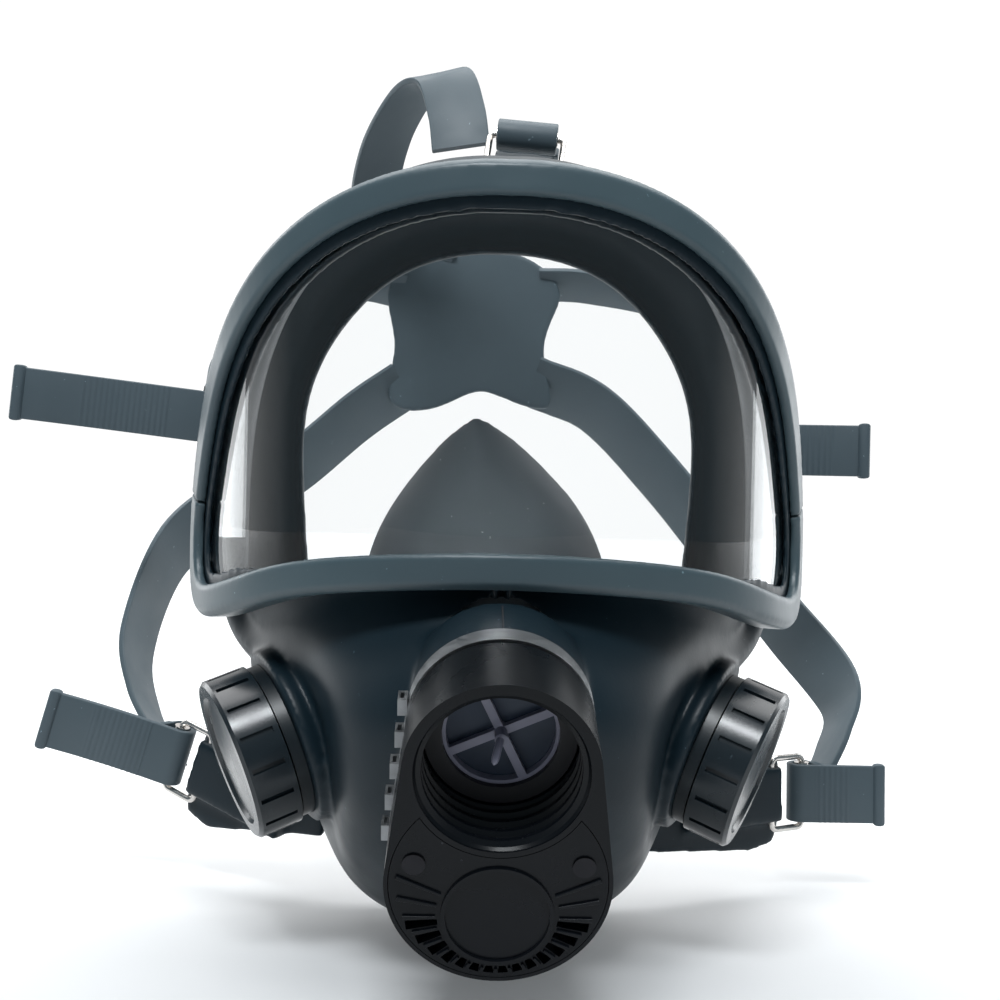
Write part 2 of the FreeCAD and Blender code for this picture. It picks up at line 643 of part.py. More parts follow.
def make_main_valves():
    depth, thick = size("seat_depth"), size("seat_thick")
    turned("port_gasket", [("passage_r - 1", "0"), ("thread_crest_r - 0.1", "0"), ("thread_crest_r - 0.1", "-1.8"),
                           ("passage_r - 1", "-1.8")], shifted(HOUSING, 0, 0, -depth + 2.25))
    seat_place = shifted(HOUSING, 0, 0, -depth + 0.35)
    spin = Placement(Vector(0, 0, 0), Rotation(Z_AXIS, 25))
    valve_seat("inhalation_valve_seat", seat_place.multiply(spin), "seat_r", "seat_open_r", "4", "seat_thick + 4")
    valve_disc("inhalation_valve_disc", shifted(HOUSING, 0, 0, -depth + 0.35 - thick - 0.05), "valve_disc_r")
    drop = size("disc_drop")
    valve_seat("exhalation_valve_seat", shifted(HOUSING, 0, -drop, -9.45), "cover_disc_r - 0.1", "9.5", "4.5", "2.6")
    valve_disc("exhalation_valve_disc", shifted(HOUSING, 0, -drop, -9.4 + size("valve_disc_thick")), "11.5")


def make_clamp():
    """Steel band round the rubber neck, with the row of hooks that draws it tight."""
    top_r = size("port_r - neck_inset + neck_thick") + 0.05
    bottom_r = size("exhaust_r - neck_inset + neck_thick") + 0.05
    front, back = size("shroud_long") + 2, size("shroud_long") + 8
    band = teardrop(top_r + 1.0, bottom_r + 1.0, front, back).cut(teardrop(top_r, bottom_r, front - 1, back + 1))
    for step in range(5):
        height = 4 - 9 * step
        lean = (bottom_r - top_r) / size("exhaust_drop")
        reach = top_r + (min(max(-height, 0), 30) * lean)
        hook = Part.makeBox(2.4, 4.4, 5, Vector(-reach - 3.1, height - 2.2, -front - 5.5))
        hook = hook.cut(Part.makeBox(1.0, 6, 3, Vector(-reach - 2.5, height - 3, -front - 4.5)))
        band = band.fuse(hook)
    plain("neck_clamp", band.removeSplitter(), HOUSING)


# ---------------------------------------------------------------- side ports

def make_side_port(name, side):
    place = side_place(side)
    wall, deep = "side_barrel_r", size("cap_deep")
    crest, root = "side_thread_r", "side_barrel_r + 0.3"
    profile = [("side_bore_r", "-5.4"), (root, "-5.4")]
    for turn in range(2):
        top = f"-6.2 - {turn} * side_pitch"
        profile += [(root, top), (crest, f"{top} - 0.5"), (crest, f"{top} - 1.4"), (root, f"{top} - 1.9")]
    profile += [(root, f"{-deep - 0.6}"), ("side_flange_r", f"{-deep - 0.6}"), ("side_flange_r", f"{-deep - 4}"),
                (wall, f"{-deep - 4}"), (wall, "-35.5"), ("side_bore_r + 1.8", "-35.5"),
                ("side_bore_r + 1.8", "-26"), ("side_bore_r", "-26")]
    turned(f"side_port_{name}", profile, place)
    valve_seat(f"side_valve_seat_{name}", shifted(place, 0, 0, -26.05), "side_bore_r + 1.7", "side_bore_r - 2.2",
               "1.5", "seat_thick + 4")
    valve_disc(f"side_valve_disc_{name}", shifted(place, 0, 0, -26.1 - size("seat_thick")), "side_bore_r - 0.8")
    turned(f"side_cap_gasket_{name}", [("side_bore_r + 0.2", "-3.6"), ("side_thread_r - 0.2", "-3.6"),
                                       ("side_thread_r - 0.2", "-5.3"), ("side_bore_r + 0.2", "-5.3")], place)
    cap = turned(f"side_cap_{name}", [
        ("0", "-1"), ("cap_r - 5.4", "-1"), ("cap_r - 4.6", "0"), ("cap_r - 1", "0"), ("cap_r", "-1"),
        ("cap_r", "-cap_deep"), ("side_thread_r + 0.5", "-cap_deep"), ("side_thread_r + 0.5", "-3.5"),
        ("0", "-3.5")], place)
    sketch = new_sketch(cap, "XY_Plane", f"side_cap_{name}_notch")
    add_outline(sketch, [("cap_r - 1", "-0.8"), ("cap_r + 1", "-0.8"), ("cap_r + 1", "0.8"), ("cap_r - 1", "0.8")])
    sketch.AttachmentOffset = Placement(Vector(0, 0, -1.8), Rotation())
    notch = pocket(cap, sketch, "cap_deep - 3.4")
    circular_pattern(cap, notch, int(size("cap_flats")))


# ---------------------------------------------------------------- nose cup

# columns from the bridge of the nose to the chin: angle round the housing, the middle of the cheek, the open rim
CUP_COLUMNS = [
    (0, (0, -74, 8), (0, -50, 39)), (30, (19, -72, 2), (20, -34, 23)), (62, (31, -68, -17), (37, -20, -3)),
    (90, (34, -64, -42), (40, -14, -38)), (120, (28, -60, -64), (33, -16, -64)),
    (150, (14, -57, -79), (18, -22, -77)), (180, (0, -56, -84), (0, -26, -81)),
]
CHECK_VALVE = Vector(35.2, -43, -24)


# the cup sits turned a little about the housing, toward -X at the bridge of the nose
CUP_LEAN = Placement(Vector(0, 0, 0), Rotation(Y_AXIS, -4.5), Vector(0, 0, -60))


def check_place(side):
    point = Vector(side * CHECK_VALVE.x, CHECK_VALVE.y, CHECK_VALVE.z)
    return aimed(point, Vector(side * 0.88, -0.42, 0.22))


def make_nose_cup():
    columns = []
    for turn, middle, rim in CUP_COLUMNS:
        angle = math.radians(turn)
        mouth = HOUSING.multVec(Vector(20 * math.sin(angle), -15 + 27 * math.cos(angle), -53))
        columns.append([mouth, Vector(*middle), Vector(*rim)])
    half = half_skin(columns, 1.8)
    pad = Part.makeCylinder(9.5, 2.6, Vector(0, 0, -1.3))
    pad.Placement = check_place(1).multiply(pad.Placement)
    hole = Part.makeCylinder(7.1, 30, Vector(0, 0, -15))
    hole.Placement = check_place(1)
    half = half.fuse(pad).cut(hole)
    plain("nose_cup", half.multiFuse([mirrored(half)]).removeSplitter(), CUP_LEAN)


def make_check_valve(name, side):
    place = CUP_LEAN.multiply(check_place(side))
    valve_seat(f"nose_valve_seat_{name}", shifted(place, 0, 0, 1.25), "7", "5.4", "1", "seat_thick + 2.6")
    valve_disc(f"nose_valve_disc_{name}", shifted(place, 0, 0, 1.2 - size("seat_thick")), "6.2")


# ---------------------------------------------------------------- harness

HEAD_CENTRE = Vector(0, 40, 20)
# straps from the buckle to the pad, after the roller: hand-set centre points
STRAP_ROUTES = {
    "top": [(-15, 4, 134), (-17, 9, 148), (-22, 17, 162), (-32, 30, 161), (-44, 50, 146), (-48, 72, 128),
            (-36, 95.5, 116), (-22, 100.3, 108)],
    "temple_left": [(-106, 34, 46), (-106, 50, 58), (-98, 70, 76), (-76, 87, 95), (-56, 97, 101), (-39, 100.4, 99)],
    "temple_right": [(106, 34, 40), (106, 50, 54), (96, 70, 74), (70, 87, 94), (38, 97.5, 102), (18, 100.4, 103)],
    "lower_left": [(-126, 36, -62), (-132, 50, -42), (-124, 68, -10), (-104, 84, 10), (-79, 93, 27),
                   (-56, 98, 47), (-38, 100.4, 60)],
    "lower_right": [(126, 34, -72), (131, 46, -56), (115, 68, -32), (93, 84, -4), (68, 93, 26), (42, 98, 52),
                    (16, 100.4, 63)],
}
PAD_OUTLINE = [(-12, 118), (-34, 114), (-45, 98), (-42, 76), (-42, 52), (-24, 51), (-6, 58), (8, 54), (22, 52),
               (20, 76), (26, 100), (10, 114)]


def band(points, bar, width, thick, held):
    """Flat strap through centre points; over its held share the width turns from the bar to the head's curve."""
    curve = Part.BSplineCurve()
    curve.interpolate([Vector(*point) for point in points])
    wires = []
    count = 4 * len(points)
    first, last = curve.FirstParameter, curve.LastParameter
    previous = Vector(bar)
    for step in range(count + 1):
        value = first + (last - first) * step / count
        centre, along = curve.value(value), curve.tangent(value)[0]
        radial = (centre - HEAD_CENTRE).normalize()
        across = along.cross(radial)
        if across.dot(previous) < 0:
            across = across * -1
        blend = max(0.0, 1 - step / (count * held))
        across = (across.normalize() * (1 - blend) + Vector(bar) * blend)
        across = (across - along * across.dot(along)).normalize()
        previous = across
        normal = across.cross(along).normalize()
        corners = [centre + across * (width / 2 * i) + normal * (thick / 2 * j)
                   for i, j in ((1, 1), (-1, 1), (-1, -1), (1, -1))]
        wires.append(Part.makePolygon(corners + corners[:1]))
    return Part.makeLoft(wires, True, False, False)


def strap_width(name):
    return size("strap_width") - (2.5 if name.startswith("temple") else 0)


def make_buckle(name):
    place = buckle_place(name)
    tail_long, lift = BUCKLES[name][3:]
    wire, long, corner = size("wire_r"), size("buckle_long"), size("buckle_corner")
    half = size("buckle_wide") / 2 - wire
    pieces = []
    for y in (0, long):
        pieces.append(Part.makeCylinder(wire, 2 * (half - corner), Vector(-half + corner, y, 0), X_AXIS))
    for x in (-half, half):
        pieces.append(Part.makeCylinder(wire, long - 2 * corner, Vector(x, corner, 0), Y_AXIS))
    for x, y, turn in ((half, long, 0), (-half, long, 90), (-half, 0, 180), (half, 0, 270)):
        centre = Vector(math.copysign(half - corner, x), corner if y == 0 else long - corner, 0)
        bend = Part.makeTorus(corner, wire, Vector(0, 0, 0), Z_AXIS, -180, 180, 90)
        bend.rotate(Vector(0, 0, 0), Z_AXIS, turn)
        bend.translate(centre)
        pieces.append(bend)
    plain(f"buckle_frame_{name}", pieces[0].multiFuse(pieces[1:]), place)
    roller = DOC.addObject("Part::Cut", f"buckle_roller_{name}")
    for role, radius in (("Base", "roller_r"), ("Tool", "wire_r + wire_fit")):
        part = DOC.addObject("Part::Cylinder", f"roller_{role.lower()}_{name}")
        part.setExpression("Radius", bound(radius))
        part.setExpression("Height", bound("strap_width + 0.6"))
        setattr(roller, role, part)
    roller.Label = f"buckle_roller_{name}"
    across = Placement(Vector(-size("strap_width + 0.6") / 2, long, 0), Rotation(Y_AXIS, 90))
    roller.Placement = place.multiply(across)
    make_tail(name, place, tail_long, lift)
    route = [Vector(*point) for point in STRAP_ROUTES[name]]
    bar, held = place.Rotation.multVec(X_AXIS), 0.25
    if name == "top":
        bar, held = Vector(0.94, 0, 0.34), 0.8
    else:
        level = -size("roller_r + wrap_gap") - size("strap_thick") / 2
        lead = [Vector(0, long + 3.8, level), Vector(0, long + 5.2, level), Vector(0, long + 8, level - 0.4)]
        route = [place.multVec(point) for point in lead] + route
    strap = band(route, bar, strap_width(name), size("strap_thick"), held).cut(pad_sheet(80, 98.85))
    plain(f"strap_{name}", max(strap.Solids, key=lambda solid: solid.Volume))


def make_tail(name, place, tail_long, lift):
    """Free end of a strap: half a turn round the roller, a straight run and a raised stop."""
    inner, thick, width = size("roller_r + wrap_gap"), size("strap_thick"), strap_width(name)
    outer = inner + thick
    turn = Part.makeCylinder(outer, width, Vector(-width / 2, 0, 0), X_AXIS)
    turn = turn.cut(Part.makeCylinder(inner, width, Vector(-width / 2, 0, 0), X_AXIS))
    wrap = turn.common(Part.makeBox(width, outer, 2 * outer, Vector(-width / 2, -outer, -outer)))
    run = Part.makeBox(width, tail_long, thick, Vector(-width / 2, 0, inner))
    stop = Part.makeBox(width + 1.5, 4, thick + 2, Vector(-width / 2 - 0.75, tail_long - 4, inner - 0.6))
    run = run.fuse(stop)
    for shape in (wrap, run):
        shape.rotate(Vector(0, 0, 0), X_AXIS, lift)
    wrap = wrap.cut(Part.makeBox(width, outer, outer, Vector(-width / 2, 0, -outer)))
    wrap_back = turn.common(Part.makeBox(width, outer, outer, Vector(-width / 2, -outer, -outer)))
    tail = wrap.fuse(wrap_back).fuse(run).removeSplitter()
    tail.translate(Vector(0, size("buckle_long"), 0))
    plain(f"strap_tail_{name}", tail, place)


def pad_sheet(front, back):
    """Plate with the harness pad's outline between two distances behind the seal."""
    points = [Vector(x, front, z) for x, z in PAD_OUTLINE]
    curve = Part.BSplineCurve()
    curve.interpolate(Points=points, PeriodicFlag=True)
    return Part.Face(Part.Wire([curve.toShape()])).extrude(Vector(0, back - front, 0))


# ---------------------------------------------------------------- assembly and output

def make_all():
    make_facepiece()
    plain("visor", pane())
    make_frame()
    make_housing()
    make_cover()
    make_main_valves()
    make_clamp()
    for name, side in (("left", -1), ("right", 1)):
        make_side_port(name, side)
        make_check_valve(name, side)
    make_nose_cup()
    for name in BUCKLES:
        make_buckle(name)
    plain("harness_pad", pad_sheet(96, 96 + size("strap_thick + 0.6")))


def sub_parts():
    """Objects that are pieces of the respirator: bodies, shapes set directly and the rollers' cuts."""
    kinds = ("PartDesign::Body", "Part::Feature", "Part::Cut")
    return [item for item in DOC.Objects if item.TypeId in kinds]


def save_all():
    os.makedirs("parts", exist_ok=True)
    DOC.recompute()
    for item in DOC.Objects:
        if "Invalid" in item.State or "Error" in item.State:
            raise RuntimeError(f"{item.Label} failed: {item.State}")
    for item in sub_parts():
        if item.Shape.isNull() or not item.Shape.isValid():
            raise RuntimeError(f"{item.Label} has no valid shape")
    for item in sub_parts():
        item.Shape.exportStep(f"parts/{item.Label}.step")


make_all()
save_all()
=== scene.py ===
"""Looks of the full face respirator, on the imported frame.

The frame and every mesh are in metres; the tables and named lengths below are in millimetres.
"""
import json
import math

import bpy
from mathutils import Matrix, Vector


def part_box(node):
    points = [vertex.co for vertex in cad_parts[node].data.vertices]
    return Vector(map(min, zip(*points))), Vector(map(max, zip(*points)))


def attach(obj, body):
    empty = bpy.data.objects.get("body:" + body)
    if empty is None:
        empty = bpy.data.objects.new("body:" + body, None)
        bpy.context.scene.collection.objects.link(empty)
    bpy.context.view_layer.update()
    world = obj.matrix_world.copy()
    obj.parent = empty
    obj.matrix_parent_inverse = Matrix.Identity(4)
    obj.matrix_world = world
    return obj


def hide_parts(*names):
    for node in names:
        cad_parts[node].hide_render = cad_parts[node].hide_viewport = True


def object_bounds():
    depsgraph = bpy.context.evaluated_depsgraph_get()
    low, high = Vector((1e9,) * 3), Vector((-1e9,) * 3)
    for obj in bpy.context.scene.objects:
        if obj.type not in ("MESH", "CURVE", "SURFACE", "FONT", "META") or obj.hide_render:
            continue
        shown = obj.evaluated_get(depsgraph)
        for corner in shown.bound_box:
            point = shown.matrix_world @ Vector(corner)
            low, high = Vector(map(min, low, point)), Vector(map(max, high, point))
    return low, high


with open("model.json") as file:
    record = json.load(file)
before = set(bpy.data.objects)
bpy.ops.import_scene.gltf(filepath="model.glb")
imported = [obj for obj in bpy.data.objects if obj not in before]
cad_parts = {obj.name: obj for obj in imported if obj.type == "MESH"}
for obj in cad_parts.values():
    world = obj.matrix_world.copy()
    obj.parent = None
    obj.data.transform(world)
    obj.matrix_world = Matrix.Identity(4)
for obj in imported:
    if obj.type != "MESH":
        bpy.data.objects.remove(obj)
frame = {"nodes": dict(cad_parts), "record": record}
NODES = frame["nodes"]
CAD_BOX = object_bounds()
MM = 0.001

# The visor is part of a cylinder about an upright axis.
VISOR_AXIS_Y, VISOR_RADIUS = -15, 93.5
# The housing's own frame: its origin and its tilt. The exhalation cover's disc is centred COVER_DROP below the
# origin; its louvres fan out from there to a rim whose centre is RIM_RISE higher.
HOUSING_ORIGIN, HOUSING_TILT = Vector((0, -151, -51.5)), math.radians(20)
COVER_DROP, DISC_RADIUS, RIM_RISE, RIM_RADIUS = 38.5, 15.0, 8.5, 24.6

# ---------------------------------------------------------------- camera, light and floor

YAW, PITCH, ROLL = math.radians(1.2285), math.radians(0.3415), math.radians(1.3637)
CAMERA_PLACE = Vector((-8.92, -472.66, 10.43))
FLOOR_REACH = 6.0


def make_camera():
    """50 mm lens on a 36 mm sensor, straight on and turned a little."""
    look = Vector((math.sin(YAW) * math.cos(PITCH), math.cos(YAW) * math.cos(PITCH), math.sin(PITCH)))
    level = Vector((math.cos(YAW), -math.sin(YAW), 0))
    above = level.cross(look)
    right = level * math.cos(ROLL) + above * math.sin(ROLL)
    up = above * math.cos(ROLL) - level * math.sin(ROLL)
    data = bpy.data.cameras.new("camera")
    data.lens, data.sensor_width = 50, 36
    data.clip_start, data.clip_end = 0.01, 50
    camera = bpy.data.objects.new("camera", data)
    bpy.context.collection.objects.link(camera)
    turn = Matrix((right, up, -look)).transposed().to_4x4()
    camera.matrix_world = Matrix.Translation(CAMERA_PLACE * MM) @ turn
    bpy.context.scene.camera = camera


def softbox(name, place, aim, width, height, energy, colour=(1, 1, 1)):
    """Rectangular area light at one place, in metres, turned to another."""
    data = bpy.data.lights.new(name, "AREA")
    data.shape = "RECTANGLE"
    data.size, data.size_y, data.energy, data.color = width, height, energy, colour
    lamp = bpy.data.objects.new(name, data)
    bpy.context.collection.objects.link(lamp)
    lamp.location = place
    lamp.rotation_euler = (Vector(aim) - Vector(place)).to_track_quat("-Z", "Y").to_euler()


def graded(tree, coordinate, nearest, farthest, *stops):
    """A colour that changes with Y, from the nearest value to the farthest, by the stops of a ramp."""
    where = tree.nodes.new("ShaderNodeTexCoord")
    split = tree.nodes.new("ShaderNodeSeparateXYZ")
    scaled = tree.nodes.new("ShaderNodeMapRange")
    scaled.inputs["From Min"].default_value, scaled.inputs["From Max"].default_value = nearest, farthest
    ramp = tree.nodes.new("ShaderNodeValToRGB")
    for element, (place, colour) in zip(ramp.color_ramp.elements, stops):
        element.position, element.color = place, (*colour, 1)
    tree.links.new(where.outputs[coordinate], split.inputs[0])
    tree.links.new(split.outputs["Y"], scaled.inputs["Value"])
    tree.links.new(scaled.outputs["Result"], ramp.inputs[0])
    return ramp.outputs["Color"]


def make_world():
    """White behind the object, dimmer in front of it, so that dark rubber stays dark."""
    world = bpy.data.worlds.new("studio")
    world.use_nodes = True
    bpy.context.scene.world = world
    tree = world.node_tree
    back = tree.nodes["Background"]
    shade = graded(tree, "Generated", -1, 1, (0.47, (0.16, 0.20, 0.225)), (0.86, (1, 1, 1)))
    tree.links.new(shade, back.inputs["Color"])
    back.inputs["Strength"].default_value = 1.05


def make_floor():
    """Pale floor at the lowest point of the part, with painted shade darkening it towards the front and a
    painted glow lighting it towards the back.
    """
    low = CAD_BOX[0].z
    mesh = bpy.data.meshes.new("floor")
    corners = [(x * FLOOR_REACH, y * FLOOR_REACH, low) for x, y in ((-1, -1), (1, -1), (1, 1), (-1, 1))]
    mesh.from_pydata(corners, [], [(0, 1, 2, 3)])
    floor = bpy.data.objects.new("floor", mesh)
    bpy.context.collection.objects.link(floor)
    skin = bpy.data.materials.new("floor_painted_shade_and_glow")
    skin.use_nodes = True
    tree = skin.node_tree
    plain = tree.nodes["Principled BSDF"]
    # Painted shade: the base colour darkens towards the front, so the dark mouldings reflect a dim floor.
    shade = graded(tree, "Object", -0.3, 0.15, (0, (0.36, 0.37, 0.38)), (1, (0.92, 0.92, 0.92)))
    # Painted light: the floor glows towards the back, though it is no lamp.
    painted_glow = graded(tree, "Object", 0.0, 1.6, (0, (0.1, 0.1, 0.1)), (1, (1, 1, 1)))
    tree.links.new(shade, plain.inputs["Base Color"])
    tree.links.new(painted_glow, plain.inputs["Emission Color"])
    plain.inputs["Roughness"].default_value = 0.9
    plain.inputs["Emission Strength"].default_value = 0.7
    mesh.materials.append(skin)


def make_stage():
    make_world()
    bpy.context.scene.view_settings.view_transform = "Standard"
    softbox("top_light", (0.0, 0.1, 0.85), (0, -0.02, 0.0), 1.1, 0.6, 9)
    softbox("front_light", (-0.12, -0.75, 0.95), (0, -0.08, 0), 0.55, 0.2, 11, (0.93, 0.97, 1.0))
    softbox("left_light", (-0.8, 0.5, 0.35), (0, -0.05, 0), 0.5, 0.8, 3.5, (0.95, 0.98, 1.0))
    softbox("right_light", (0.8, 0.5, 0.3), (0, -0.05, 0), 0.5, 0.8, 3.5, (0.95, 0.98, 1.0))
    make_floor()


# ---------------------------------------------------------------- materials

class Finish:
    """A Principled material whose colour, roughness and bump come from noise in object space."""

    def __init__(self, name, **sockets):
        self.material = bpy.data.materials.new(name)
        self.material.use_nodes = True
        self.tree = self.material.node_tree
        self.shader = self.tree.nodes["Principled BSDF"]
        self.where = self.tree.nodes.new("ShaderNodeTexCoord").outputs["Object"]
        for socket, value in sockets.items():
            self.shader.inputs[socket.replace("_", " ")].default_value = value

    def noise(self, scale, detail=3.0, stretch=(1, 1, 1)):
        mapping = self.tree.nodes.new("ShaderNodeMapping")
        mapping.inputs["Scale"].default_value = stretch
        noise = self.tree.nodes.new("ShaderNodeTexNoise")
        noise.inputs["Scale"].default_value = scale
        noise.inputs["Detail"].default_value = detail
        self.tree.links.new(self.where, mapping.inputs["Vector"])
        self.tree.links.new(mapping.outputs["Vector"], noise.inputs["Vector"])
        return noise.outputs["Fac"]

    def ramp(self, source, stops):
        ramp = self.tree.nodes.new("ShaderNodeValToRGB")
        for index, (place, colour) in enumerate(stops):
            element = ramp.color_ramp.elements[index] if index < 2 else ramp.color_ramp.elements.new(place)
            element.position = place
            element.color = (*colour, 1)
        self.tree.links.new(source, ramp.inputs[0])
        return ramp.outputs["Color"]

    def mixed(self, factor, first, second):
        mix = self.tree.nodes.new("ShaderNodeMix")
        mix.data_type = "RGBA"
        self.tree.links.new(factor, mix.inputs[0])
        self.tree.links.new(first, mix.inputs[6])
        self.tree.links.new(second, mix.inputs[7])
        return mix.outputs[2]

    def colour(self, dark, light, scale=18.0, specks=None):
        """Slow drift between two colours, with fine pale specks of dust."""
        drift = self.ramp(self.noise(scale), [(0.3, dark), (0.7, light)])
        if specks:
            mask = self.ramp(self.noise(620.0, 2.0), [(specks, (0, 0, 0)), (specks + 0.02, (1, 1, 1))])
            pale = tuple(min(1, 4 * channel + 0.03) for channel in light)
            dusty = self.ramp(self.noise(90.0), [(0.4, light), (0.7, pale)])
            drift = self.mixed(mask, drift, dusty)
        self.tree.links.new(drift, self.shader.inputs["Base Color"])
        return self

    def roughness(self, low, high, scale=60.0, stretch=(1, 1, 1)):
        scaled = self.tree.nodes.new("ShaderNodeMapRange")
        for socket, value in (("From Min", 0.3), ("From Max", 0.7), ("To Min", low), ("To Max", high)):
            scaled.inputs[socket].default_value = value
        self.tree.links.new(self.noise(scale, 4.0, stretch), scaled.inputs["Value"])
        self.tree.links.new(scaled.outputs["Result"], self.shader.inputs["Roughness"])
        return self

    def bump(self, scale, depth, strength=0.4, stretch=(1, 1, 1), detail=2.0):
        bump = self.tree.nodes.new("ShaderNodeBump")
        bump.inputs["Strength"].default_value = strength
        bump.inputs["Distance"].default_value = depth * MM
        self.tree.links.new(self.noise(scale, detail, stretch), bump.inputs["Height"])
        self.tree.links.new(bump.outputs["Normal"], self.shader.inputs["Normal"])
        return self


def make_finishes():
    made = {
        "mask_rubber": Finish("moulded_rubber", Specular_IOR_Level=0.24)
        .colour((0.005, 0.013, 0.019), (0.009, 0.020, 0.028), 14, 0.745)
        .roughness(0.34, 0.46).bump(900, 0.05),
        "strap_rubber": Finish("strap_rubber", Specular_IOR_Level=0.4)
        .colour((0.052, 0.074, 0.088), (0.066, 0.092, 0.108), 22, 0.745)
        .roughness(0.46, 0.62).bump(700, 0.06),
        # Nose cup: a grey lightened as painted light, standing in for the light on the cup and the visor's
        # reflection veil over it.
        "cup_rubber": Finish("nose_cup_rubber_painted_light", Specular_IOR_Level=0.35)
        .colour((0.19, 0.207, 0.222), (0.23, 0.25, 0.268), 20, 0.745)
        .roughness(0.5, 0.64).bump(600, 0.06),
        "gasket_rubber": Finish("gasket_rubber", Specular_IOR_Level=0.4)
        .colour((0.012, 0.012, 0.014), (0.02, 0.02, 0.023), 40)
        .roughness(0.45, 0.6).bump(800, 0.04),
        "frame_plastic": Finish("frame_moulding", Specular_IOR_Level=0.5)
        .colour((0.044, 0.069, 0.082), (0.058, 0.090, 0.104), 12, 0.745)
        .roughness(0.33, 0.43).bump(1100, 0.035),
        "housing_plastic": Finish("housing_moulding", Specular_IOR_Level=0.2)
        .colour((0.002, 0.003, 0.004), (0.004, 0.005, 0.007), 16, 0.755)
        .roughness(0.24, 0.34).bump(1300, 0.02),
        "port_plastic": Finish("port_moulding", Specular_IOR_Level=0.5)
        .colour((0.005, 0.009, 0.012), (0.009, 0.015, 0.019), 16)
        .roughness(0.3, 0.42).bump(1000, 0.03),
        "cap_plastic": Finish("cap_moulding", Specular_IOR_Level=0.55)
        .colour((0.006, 0.011, 0.015), (0.011, 0.018, 0.023), 16, 0.755)
        .roughness(0.2, 0.3).bump(1200, 0.02),
        "valve_plastic": Finish("valve_moulding", Transmission_Weight=0.25, IOR=1.46)
        .colour((0.24, 0.24, 0.32), (0.32, 0.32, 0.41), 60)
        .roughness(0.3, 0.42).bump(700, 0.03),
        "valve_rubber": Finish("valve_silicone", Transmission_Weight=0.2, IOR=1.41)
        .colour((0.018, 0.03, 0.055), (0.03, 0.045, 0.075), 60)
        .roughness(0.35, 0.5).bump(700, 0.03),
        "visor_clear": Finish("visor_polycarbonate", Transmission_Weight=1.0, IOR=1.5)
        .colour((0.955, 0.975, 0.98), (0.965, 0.985, 0.99), 8)
        .roughness(0.0, 0.025, 25).bump(30, 0.02, 0.12),
    }
    for slot, colour, rough in (("screw_steel", (0.55, 0.55, 0.56), (0.25, 0.4)),
                                ("clamp_steel", (0.36, 0.37, 0.38), (0.3, 0.45)),
                                ("buckle_steel", (0.66, 0.63, 0.60), (0.16, 0.3)),
                                ("cover_screw_black", (0.03, 0.03, 0.033), (0.3, 0.42))):
        shine = Finish(slot, Metallic=1.0)
        shade = tuple(c * 0.8 for c in colour)
        made[slot] = shine.colour(shade, colour, 180).roughness(*rough, 300, (1, 1, 6)).bump(500, 0.01, 0.08)
    return {slot: finish.material for slot, finish in made.items()}


FINISH = make_finishes()


def dress(piece, slot):
    piece.data.materials.clear()
    piece.data.materials.append(FINISH[slot])


def dress_nodes():
    """Every CAD node takes its slot's finish and is shaded smooth up to its sharp edges."""
    for part in frame["record"]["subparts"]:
        piece = NODES[part["node"]]
        dress(piece, part["material_slot"])
        piece.data.shade_smooth()
        piece.data.set_sharp_from_angle(angle=math.radians(32))


# ---------------------------------------------------------------- facepiece

def applied(piece):
    """Put the piece's modifiers into its mesh."""
    ready = piece.evaluated_get(bpy.context.evaluated_depsgraph_get())
    mesh = bpy.data.meshes.new_from_object(ready)
    piece.modifiers.clear()
    old = piece.data
    piece.data = mesh
    bpy.data.meshes.remove(old)


def softened(node, name, slot, voxel, rounds, keep=None):
    """A copy of a moulded CAD node with its junctions flowing into each other; keep holds what stays crisp."""
    piece = bpy.data.objects.new(name, NODES[node].data.copy())
    bpy.context.collection.objects.link(piece)
    remesh = piece.modifiers.new("even", "REMESH")
    remesh.mode, remesh.voxel_size, remesh.use_smooth_shade = "VOXEL", voxel * MM, True
    applied(piece)
    group = piece.vertex_groups.new(name="flow")
    for vertex in piece.data.vertices:
        weight = 1.0 if keep is None else keep(vertex.co / MM)
        group.add([vertex.index], weight, "REPLACE")
    smooth = piece.modifiers.new("flow", "SMOOTH")
    smooth.factor, smooth.iterations, smooth.vertex_group = 0.5, rounds, "flow"
    applied(piece)
    piece.data.shade_smooth()
    dress(piece, slot)
    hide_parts(node)
    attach(piece, "mask")
    return piece


def visor_turn(point):
    """Degrees round the visor's axis from the front, and distance outside the visor."""
    forward = VISOR_AXIS_Y - point.y
    return math.degrees(math.atan2(point.x, forward)), math.hypot(point.x, forward) - VISOR_RADIUS


def channel_weight(point):
    """Little smoothing where the rubber grips the visor, full smoothing elsewhere."""
    away = visor_turn(point)[1]
    if -8 < away < 3 and point.z > -22:
        return 0.2 if point.z > 14 else 0.35
    return 1.0


def cup_weight(point):
    """Full smoothing over the bridge of the nose, little round the neck and the check valves."""
    if point.y < -88 or (abs(abs(point.x) - 35) < 12 and abs(point.z + 24) < 14):
        return 0.05
    return 1.0 if point.z > -10 else 0.4


def tucked(piece, rim):
    """Press the channel's lips along the bottom of the visor down behind the edge of the frame."""
    widest, fade, middle_part = 53, 9, 35  # degrees from the front
    tall, low = 30, 9  # how far above the frame's edge the lip is sought, in the middle and beside it
    gap, squash = 0.7, 0.97
    tops = {}
    for vertex in rim.data.vertices:
        point = vertex.co / MM
        turn = round(visor_turn(point)[0])
        tops[turn] = max(tops.get(turn, -99), point.z)
    for vertex in piece.data.vertices:
        point = vertex.co / MM
        turn, away = visor_turn(point)
        if abs(turn) < widest and -9 < away < 6:
            left = math.floor(turn)
            limit = tops[left] + (tops[left + 1] - tops[left]) * (turn - left) - gap
            share = min(1.0, (widest - abs(turn)) / fade)
            if limit < point.z < limit + (tall if abs(turn) < middle_part else low):
                vertex.co.z = (point.z - squash * share * (point.z - limit)) * MM


